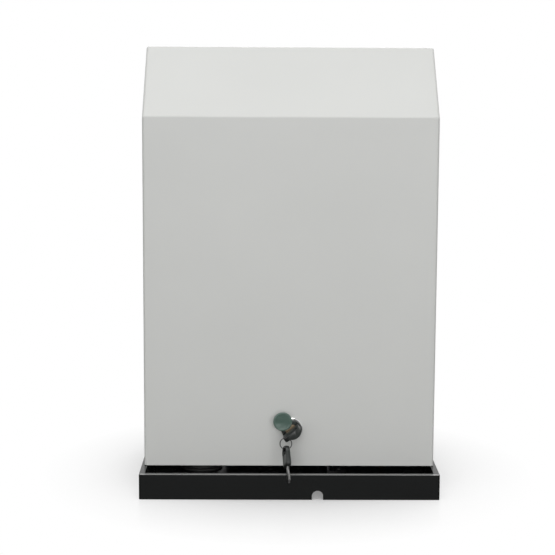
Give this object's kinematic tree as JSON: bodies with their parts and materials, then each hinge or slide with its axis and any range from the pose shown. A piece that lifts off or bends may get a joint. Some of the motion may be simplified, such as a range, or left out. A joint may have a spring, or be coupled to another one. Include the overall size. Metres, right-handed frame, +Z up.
{
  "type": "sliding gate motor",
  "caption": "Worm-geared drive for a sliding gate: rear rack pinion, finned motor and control board on a recessed cast base, under a locked lift-off sheet-metal cover.",
  "frame": {"origin": "centre of the base's footprint, on the surface that it is bolted to", "axes": "X right, Y away from the viewer towards the gate, Z up"},
  "size_m": [0.306, 0.3007, 0.457],
  "materials": {
    "base_casting": "black semi-gloss powder coat",
    "rubber": "black rubber",
    "black_steel": "black zinc plated",
    "ring_steel": "darkened spring wire",
    "zinc_steel": "zinc plated",
    "gear_casting": "cast aluminium, fine sand texture",
    "bearing_steel": "ground steel",
    "dynamo_steel": "laminated steel",
    "winding": "varnished copper",
    "cowl_paint": "black paint",
    "panel_steel": "galvanised",
    "circuit_board": "green solder mask",
    "black_plastic": "black moulded plastic",
    "relay_plastic": "blue plastic",
    "terminal_plastic": "green plastic",
    "capacitor_can": "off-white plastic can",
    "cover_coat": "light grey powder coat",
    "lock_dark": "dark satin die-casting",
    "lock_chrome": "bright chrome",
    "cap_satin": "dark green-grey satin",
    "core_brass": "plated brass",
    "key_plastic": "black moulded plastic",
    "key_steel": "nickel plated",
    "shaft_steel": "ground steel",
    "bronze": "bronze",
    "lever_red": "red plastic grip"
  },
  "bodies": {
    "root": {"base_frame": "base_casting", "cable_grommet": "rubber", "output_seal": "rubber", "gearbox_gasket": "rubber", "strike_bracket": "black_steel", "bracket_screws": "black_steel", "lid_screws": "zinc_steel", "gearbox_bolts": "zinc_steel", "motor_bolts": "zinc_steel", "board_standoffs": "zinc_steel", "capacitor_clips": "zinc_steel", "oil_plug": "zinc_steel", "gearbox_housing": "gear_casting", "gearbox_lid": "gear_casting", "motor_top_shield": "gear_casting", "motor_case": "gear_casting", "front_bearing": "bearing_steel", "rear_bearing": "bearing_steel", "worm_bearings": "bearing_steel", "motor_top_bearing": "bearing_steel", "stator_core": "dynamo_steel", "stator_windings": "winding", "fan_cowl": "cowl_paint", "electronics_panel": "panel_steel", "control_board": "circuit_board", "board_transformer": "black_plastic", "board_processor": "black_plastic", "limit_switch_box": "black_plastic", "switch_bracket": "black_plastic", "board_relays": "relay_plastic", "terminal_blocks": "terminal_plastic", "run_capacitor": "capacitor_can"},
    "cover": {"cover_shell": "cover_coat", "slot_edging": "rubber", "lock_barrel": "lock_dark", "lock_rosette": "lock_chrome", "lock_nut": "zinc_steel", "cap_pin": "cap_satin"},
    "cap": {"dust_cap": "cap_satin"},
    "core": {"lock_core": "core_brass", "lock_cam": "zinc_steel", "cam_screw": "zinc_steel"},
    "key": {"key_bow": "key_plastic", "key_blade": "key_steel"},
    "ring": {"key_ring": "ring_steel"},
    "spare_key": {"spare_key_bow": "key_plastic", "spare_key_blade": "key_steel"},
    "output": {"output_shaft": "shaft_steel", "worm_wheel": "bronze", "wheel_hub": "shaft_steel", "drive_pinion": "shaft_steel", "pinion_key": "shaft_steel", "pinion_screw": "zinc_steel"},
    "clutch": {"clutch_ring": "shaft_steel", "push_rod": "shaft_steel"},
    "rotor": {"rotor_shaft": "shaft_steel", "rotor_core": "dynamo_steel", "cooling_fan": "black_plastic"},
    "release": {"release_lever": "lever_red"},
    "wand": {"limit_wand": "shaft_steel"}
  },
  "joints": [
    {"name": "cover_lift", "type": "slide", "parent": "root", "child": "cover", "axis": [0, 0, 1], "range_m": [0, 0.44]},
    {"name": "cap_swing", "type": "hinge", "parent": "cover", "child": "cap", "pos_m": [0.0014, -0.0955, 0.0741], "axis": [0, 1, 0], "range_deg": [0, 60]},
    {"name": "key_turn", "type": "hinge", "parent": "cover", "child": "core", "pos_m": [0.0024, -0.0955, 0.0658], "axis": [0, -1, 0], "range_deg": [0, 90]},
    {"name": "key_withdraw", "type": "slide", "parent": "core", "child": "key", "axis": [0, -1, 0], "range_m": [0, 0.03]},
    {"name": "ring_swing", "type": "hinge", "parent": "key", "child": "ring", "pos_m": [-0.00378, -0.1141, 0.06195], "axis": [-1, 0, 0], "range_deg": [0, 15]},
    {"name": "spare_key_swing", "type": "hinge", "parent": "ring", "child": "spare_key", "pos_m": [-0.00378, -0.1141, 0.0505], "axis": [-1, 0, 0], "range_deg": [0, 30]},
    {"name": "rotor_spin", "type": "hinge", "parent": "root", "child": "rotor", "pos_m": [0.03, 0.035, 0.2], "axis": [0, 0, 1], "continuous": true},
    {"name": "output_spin", "type": "hinge", "parent": "root", "child": "output", "pos_m": [-0.03, 0.035, 0.088], "axis": [0, 1, 0], "continuous": true},
    {"name": "release_turn", "type": "hinge", "parent": "root", "child": "release", "pos_m": [-0.03, -0.025, 0.088], "axis": [0, 1, 0], "range_deg": [0, 90]},
    {"name": "clutch_shift", "type": "slide", "parent": "output", "child": "clutch", "axis": [0, 1, 0], "range_m": [0, 0.006]},
    {"name": "wand_swing", "type": "hinge", "parent": "root", "child": "wand", "pos_m": [-0.03, 0.14, 0.158], "axis": [0, 1, 0], "range_deg": [-30, 30], "stiffness_Nm_per_rad": 0.5}
  ],
  "couplings": [
    {"joint": "output_spin", "follows": "rotor_spin", "ratio": 0.033333},
    {"joint": "clutch_shift", "follows": "release_turn", "m_per_rad": 0.0038197}
  ]
}
